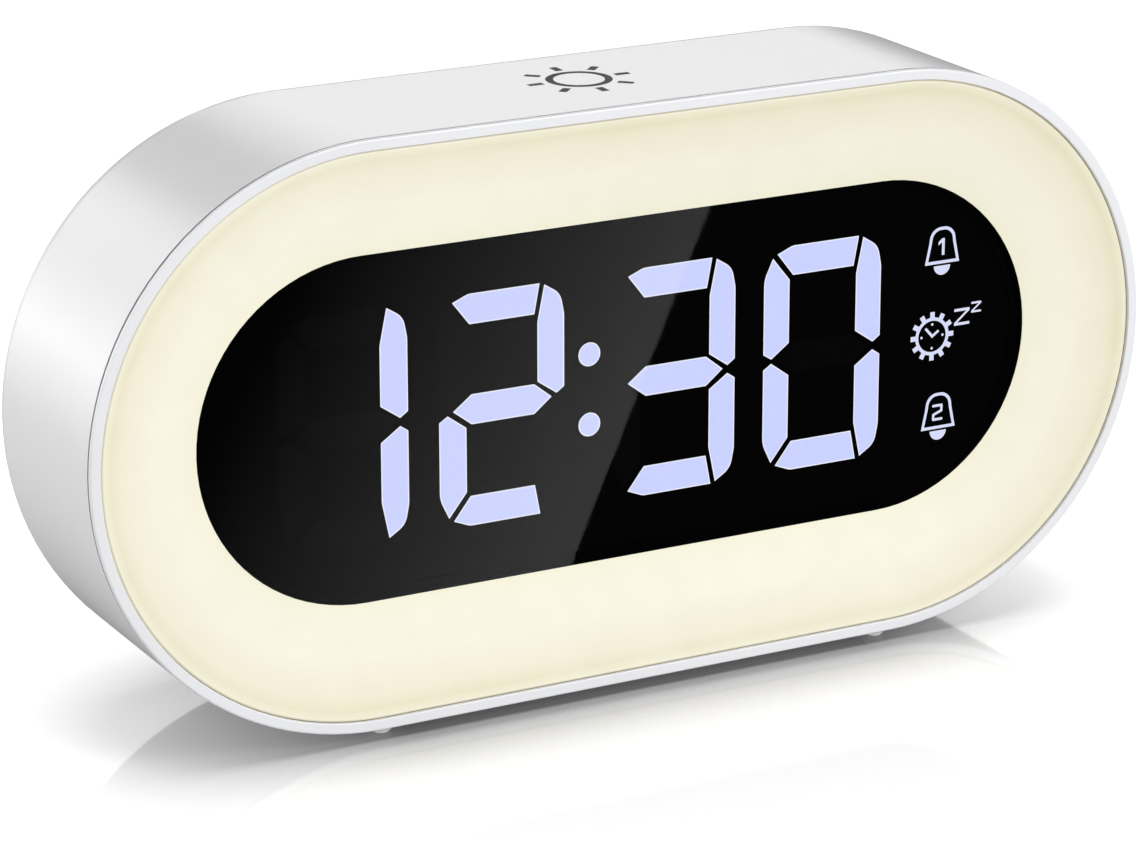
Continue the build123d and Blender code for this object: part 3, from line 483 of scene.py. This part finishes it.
def button_white():
    """A satin cap whose engraved sign is filled with grey paint."""
    shader = moulded("button_white", (0.72, 0.72, 0.73), 0.38, 0.25 * MM, 0.006 * MM, 0.015)
    low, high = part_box("down_button")
    x, y, z = shader.split()
    pitch = abs(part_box("up_button")[0].x - low.x)
    across = shader.add("ShaderNodeMath", operation="WRAP")
    for socket, value in zip(across.inputs, (x, pitch / 2, -pitch / 2)):
        shader.feed(socket, value)
    up = shader.math("SUBTRACT", z, (low.z + high.z) / 2)
    sideways = shader.math("ABSOLUTE", across.outputs[0])
    aside = shader.math("MAXIMUM", sideways, shader.math("ABSOLUTE", up))
    inside = shader.math("LESS_THAN", aside, SIGN_REACH)
    below = shader.math("LESS_THAN", y, high.y - SIGN_DEPTH / 2)
    near = shader.math("GREATER_THAN", y, high.y - SIGN_DEPTH * 1.5)
    painted = shader.math("MULTIPLY", inside, shader.math("MULTIPLY", below, near))
    shader.set(Base_Color=shader.mix(painted, shader.plain_colour(), SIGN_GREY))
    return shader


SLOT_SHADERS = {
    "case_white": case_white,
    "bezel_white": bezel_white,
    "diffuser_milk": diffuser_milk,
    "lens_smoke": lens_smoke,
    "gasket_black": gasket_black,
    "display_black": display_black,
    "segment_dark": segment_dark,
    "cover_white": cover_white,
    "foot_rubber": foot_rubber,
    "mark_grey": mark_grey,
    "tray_white": lambda: moulded("tray_white", (0.85, 0.85, 0.85), 0.5, 0.3 * MM, 0.006 * MM),
    "board_green": board_green,
    "led_resin": led_resin,
    "chip_black": chip_black,
    "capacitor_sleeve": capacitor_sleeve,
    "crystal_can": lambda: metal("crystal_can", (0.72, 0.73, 0.75), 0.3, (1, 1, 0.15)),
    "screw_steel": lambda: metal("screw_steel", (0.62, 0.63, 0.65), 0.35),
    "contact_brass": lambda: metal("contact_brass", (0.80, 0.62, 0.30), 0.3, (0.15, 1, 1)),
    "cell_steel": lambda: metal("cell_steel", (0.70, 0.71, 0.72), 0.28, (0.1, 1, 1)),
    "basket_steel": lambda: metal("basket_steel", (0.22, 0.23, 0.25), 0.4),
    "cone_paper": cone_paper,
    "electrode_copper": lambda: metal("electrode_copper", (0.80, 0.42, 0.26), 0.3, (0.1, 1, 1)),
    "wire_jacket": wire_jacket,
    "button_white": button_white,
    "plunger_red": lambda: moulded("plunger_red", (0.45, 0.05, 0.035), 0.4),
}


def dress_nodes():
    """Gives every shown CAD node the material of its slot in the record."""
    made = {}
    for part in frame["record"]["subparts"]:
        node, slot = frame["nodes"][part["node"]], part["material_slot"]
        if node.hide_render:
            continue
        if slot not in made:
            made[slot] = SLOT_SHADERS[slot]()
        node.data.materials.clear()
        node.data.materials.append(made[slot].material)


# --- Stage -----------------------------------------------------------------------------


def make_camera():
    data = bpy.data.cameras.new("camera")
    data.sensor_fit = "HORIZONTAL"
    data.sensor_width = SENSOR_WIDTH
    data.lens = CAMERA_LENS
    data.clip_start = 0.01
    camera = bpy.data.objects.new("camera", data)
    turn = (
        Matrix.Rotation(math.radians(-CAMERA_YAW), 4, "Z")
        @ Matrix.Rotation(math.radians(90 - CAMERA_PITCH), 4, "X")
        @ Matrix.Rotation(math.radians(CAMERA_ROLL), 4, "Z")
    )
    camera.matrix_world = Matrix.Translation(CAMERA_AT) @ turn
    bpy.context.scene.collection.objects.link(camera)
    bpy.context.scene.camera = camera


SKY = [(-0.22, 0.0), (-0.05, 2.0), (0.02, 2.0), (0.06, 0.06), (1.0, 0.06)]
SKY_RIGHT = 0.04  # the level on the right, where the pale band fades out
SKY_FADE = (-0.35, 0.3)


def make_world():
    """A pale band round the left horizon under a dimmer sky, and darkness below the floor."""
    world = bpy.data.worlds.new("studio")
    world.use_nodes = True
    bpy.context.scene.world = world
    nodes, links = world.node_tree.nodes, world.node_tree.links

    def ranged(value, low, high):
        node = nodes.new("ShaderNodeMapRange")
        node.inputs["From Min"].default_value = low
        node.inputs["From Max"].default_value = high
        links.new(value, node.inputs["Value"])
        return node.outputs["Result"]

    split = nodes.new("ShaderNodeSeparateXYZ")
    links.new(nodes.new("ShaderNodeTexCoord").outputs["Generated"], split.inputs[0])
    ramp = nodes.new("ShaderNodeValToRGB")
    links.new(ranged(split.outputs["Z"], -1.0, 1.0), ramp.inputs["Fac"])
    elements = ramp.color_ramp.elements
    while len(elements) < len(SKY):
        elements.new(0.5)
    for element, (rise, level) in zip(elements, SKY):
        element.position = (rise + 1) / 2
        element.color = (level, level, level, 1.0)
    fade = nodes.new("ShaderNodeMix")
    fade.data_type = "RGBA"
    links.new(ranged(split.outputs["X"], *SKY_FADE), fade.inputs["Factor"])
    links.new(ramp.outputs["Color"], fade.inputs[6])
    fade.inputs[7].default_value = (SKY_RIGHT, SKY_RIGHT, SKY_RIGHT, 1.0)
    links.new(fade.outputs[2], nodes["Background"].inputs["Color"])


def softbox(name, heading, elevation, distance, width, height, radiance):
    """A soft panel that faces the clock. Heading is to the right of +Y, as a compass turns."""
    turn, rise = math.radians(heading), math.radians(elevation)
    away = Vector(
        (math.sin(turn) * math.cos(rise), math.cos(turn) * math.cos(rise), math.sin(rise))
    )
    data = bpy.data.lights.new(name, "AREA")
    data.shape = "RECTANGLE"
    data.size, data.size_y = width, height
    data.energy = radiance * math.pi * width * height
    light = bpy.data.objects.new(name, data)
    light.location = Vector((0, 0, CENTRE_Z)) + away * distance
    light.rotation_mode = "QUATERNION"
    light.rotation_quaternion = away.to_track_quat("Z", "Y")
    light.visible_camera = False
    bpy.context.scene.collection.objects.link(light)


def make_lights():
    softbox("left_box", -80, 12, 0.8, 0.4, 0.25, 5.9)
    softbox("left_high_box", -95, 35, 0.8, 0.5, 0.5, 1.4)
    softbox("left_back_box", -60, 25, 0.8, 0.4, 0.3, 2.8)
    softbox("back_left_low_box", -32, 8, 0.8, 0.22, 0.2, 2.8)
    softbox("back_left_box", -22, 22, 0.8, 0.25, 0.22, 2.5)
    softbox("back_right_box", 28, 18, 0.9, 0.54, 0.25, 0.9)
    softbox("back_wide_box", 28, 19, 1.2, 0.75, 0.36, 1.1)
    softbox("front_right_box", 150, 35, 2.0, 1.1, 1.1, 10.7)


def flat_piece(name, corners, faces, material):
    mesh = bpy.data.meshes.new(name)
    mesh.from_pydata([tuple(corner) for corner in corners], [], faces)
    mesh.materials.append(material)
    piece = bpy.data.objects.new(name, mesh)
    bpy.context.scene.collection.objects.link(piece)
    return piece


FLOOR_HALF = 4.0
# the floor's painted contact shadow: how far it reaches, how dark it is and where it lifts
SHADOW_REACH = 22 * MM
SHADOW_OPENS = (0.54, 0.965)  # how open the floor is where it is darkest, and where it is palest
SHADOW_BASE = 0.05
SHADOW_GLOW = 0.06
FLOOR_BASE = 0.42
FLOOR_GLOW = (0.57, 0.85)  # near the clock, and far from it where the floor becomes the backdrop
FLOOR_WHITENS = (0.03, 0.13)  # how far from the clock's middle line
END_REACH = (0.035, 0.08)  # how far to the side light gets in under the clock's round ends
END_LIGHT = 0.7  # the share of the shadow that it takes away there
BOUNCE = 0.93
BOUNCE_LIFT = -0.1 * MM
BOUNCE_BENEATH = 0.4
BOUNCE_GROWS = (0.012, 0.02)  # how far to the front or the back of the clock's middle


def floor_white():
    """Pale glossy floor with a painted contact shadow that darkens its colour and glow close to the
    clock, and can be seen through from below.
    """
    shader = Shader("floor_white")
    nearby = shader.add("ShaderNodeAmbientOcclusion", {"Distance": SHADOW_REACH}, samples=16)
    # the occlusion mask that paints the contact shadow into the floor's colour and glow
    open_sky = shader.spread(nearby.outputs["AO"], 0.0, 1.0, *SHADOW_OPENS)
    x, y, _ = shader.split()
    ends = shader.spread(shader.math("ABSOLUTE", x), 0.0, END_LIGHT, *END_REACH)
    shaded = shader.math("SUBTRACT", 1.0, open_sky)
    open_sky = shader.math("ADD", open_sky, shader.math("MULTIPLY", ends, shaded))
    shader.set(Base_Color=shader.mix(open_sky, (SHADOW_BASE,) * 3, (FLOOR_BASE,) * 3))
    away = line_distance(shader, y)
    glow = shader.spread(away, *FLOOR_GLOW, *FLOOR_WHITENS)
    shader.set(Emission_Color=shader.mix(open_sky, (SHADOW_GLOW,) * 3, (1, 1, 1)))
    shader.set(Emission_Strength=glow)
    shader.set(Roughness=shader.spread(shader.noise(0.05), 0.05, 0.07), IOR=1.45)
    side = shader.add("ShaderNodeNewGeometry").outputs["Backfacing"]
    clear = shader.add("ShaderNodeBsdfTransparent").outputs["BSDF"]
    either = shader.add("ShaderNodeMixShader", {"Fac": side})
    shader.links.new(shader.surface.outputs["BSDF"], either.inputs[1])
    shader.links.new(clear, either.inputs[2])
    shader.links.new(either.outputs[0], shader.nodes["Material Output"].inputs["Surface"])
    return shader.material


def bounce_white():
    """What the clock gets back from the floor: even, but for the dark strip beneath it."""
    shader = Shader("floor_bounce")
    _, y, _ = shader.split()
    aside = shader.math("ABSOLUTE", y)
    level = shader.spread(aside, BOUNCE_BENEATH, BOUNCE, *BOUNCE_GROWS)
    return shader.shine(level)


def unseen_by(piece, *rays):
    """Hides a piece of the stage from some kinds of rays."""
    for kind in rays:
        setattr(piece, f"visible_{kind}", False)


def make_floor():
    around = [(-1, -1), (1, -1), (1, 1), (-1, 1)]
    corners = [(x * FLOOR_HALF, y * FLOOR_HALF, 0) for x, y in around]
    floor = flat_piece("floor", corners, [(0, 1, 2, 3)], floor_white())
    unseen_by(floor, "glossy", "diffuse")
    lower = [(x, y, BOUNCE_LIFT) for x, y, _ in corners]
    bounce = flat_piece("floor_bounce", lower, [(0, 1, 2, 3)], bounce_white())
    unseen_by(bounce, "camera", "glossy", "transmission", "shadow")


def backdrop_pale():
    """As pale as the floor is far from the clock."""
    shader = Shader("backdrop_pale")
    _, _, z = shader.split()
    level = shader.spread(z, 1.0, 0.97, 0.0, FLOOR_HALF)
    return shader.shine(level)


def make_backdrop():
    """Pale walls that only the camera sees, for low views that look past the floor's edge."""
    ends = (-FLOOR_HALF, FLOOR_HALF)
    corners = [(x, y, z) for x in ends for y in ends for z in ends]
    faces = [(0, 1, 3, 2), (4, 5, 7, 6), (0, 1, 5, 4), (2, 3, 7, 6), (0, 2, 6, 4), (1, 3, 7, 5)]
    walls = flat_piece("backdrop", corners, faces, backdrop_pale())
    unseen_by(walls, "diffuse", "glossy", "transmission", "shadow")


SHEEN_LEVEL = 2.8
SHEEN_X = 1.7 * MM  # where the sheen's edge crosses the lens at mid height
SHEEN_LEAN = 21.0 * MM  # how far it leans over the lens's height
SHEEN_SLOPE = 0.6  # how much of the growth is downwards
SHEEN_POWER = 1.3  # how late it grows
SHEEN_LIFT = -2 * MM
SHEEN_COLUMNS = 12
SHEEN_ROWS = 6


def in_lens(x, height, lift):
    """The point, lift above the floor, that a point of the lens's face mirrors to the camera."""
    behind = Vector((CAMERA_AT.x, 2 * LENS_Y - CAMERA_AT.y, CAMERA_AT.z))
    at = Vector((x, LENS_Y, CENTRE_Z + height))
    ray = at - behind
    return at + ray * ((at.z - lift) / -ray.z)


def make_sheen():
    """A card which only the lens mirrors, as a sheen that ends in a slanting edge.

    It lies just under the floor, which mirrored rays pass, so that the floor doesn't mirror it.
    """
    left = -SPINE_HALF - LENS_RADIUS
    reach = LENS_RADIUS + 1 * MM
    places = []
    for row in range(SHEEN_ROWS + 1):
        height = reach * (2 * row / SHEEN_ROWS - 1)
        edge = SHEEN_X + SHEEN_LEAN / 2 * height / LENS_RADIUS
        for column in range(SHEEN_COLUMNS + 1):
            places.append((left + (edge - left) * column / SHEEN_COLUMNS, height))
    quads = []
    for row in range(SHEEN_ROWS):
        for column in range(SHEEN_COLUMNS):
            first = row * (SHEEN_COLUMNS + 1) + column
            above = first + SHEEN_COLUMNS + 1
            quads.append((first, first + 1, above + 1, above))
    corners = [in_lens(x, height, SHEEN_LIFT) for x, height in places]
    card = flat_piece("sheen_card", corners, quads, sheen_glow(left))
    layer = card.data.uv_layers.new(name="place_on_lens")
    for loop in card.data.loops:
        layer.data[loop.index].uv = places[loop.vertex_index]
    unseen_by(card, "camera", "diffuse", "transmission", "shadow")


def sheen_glow(left):
    """Light that grows from the lens's upper left towards the sheen's edge."""
    shader = Shader("sheen_card")
    x, height, _ = shader.split(shader.nodes["Texture Coordinate"].outputs["UV"])
    along = shader.math("SUBTRACT", x, shader.math("MULTIPLY", height, SHEEN_SLOPE))
    share = shader.spread(along, 0.0, 1.0, left, 0.0)
    level = shader.math("MULTIPLY", shader.math("POWER", share, SHEEN_POWER), SHEEN_LEVEL)
    return shader.shine(level)


bpy.context.scene.view_settings.view_transform = "Standard"
light_display()
dress_nodes()
make_camera()
make_world()
make_lights()
make_floor()
make_backdrop()
make_sheen()
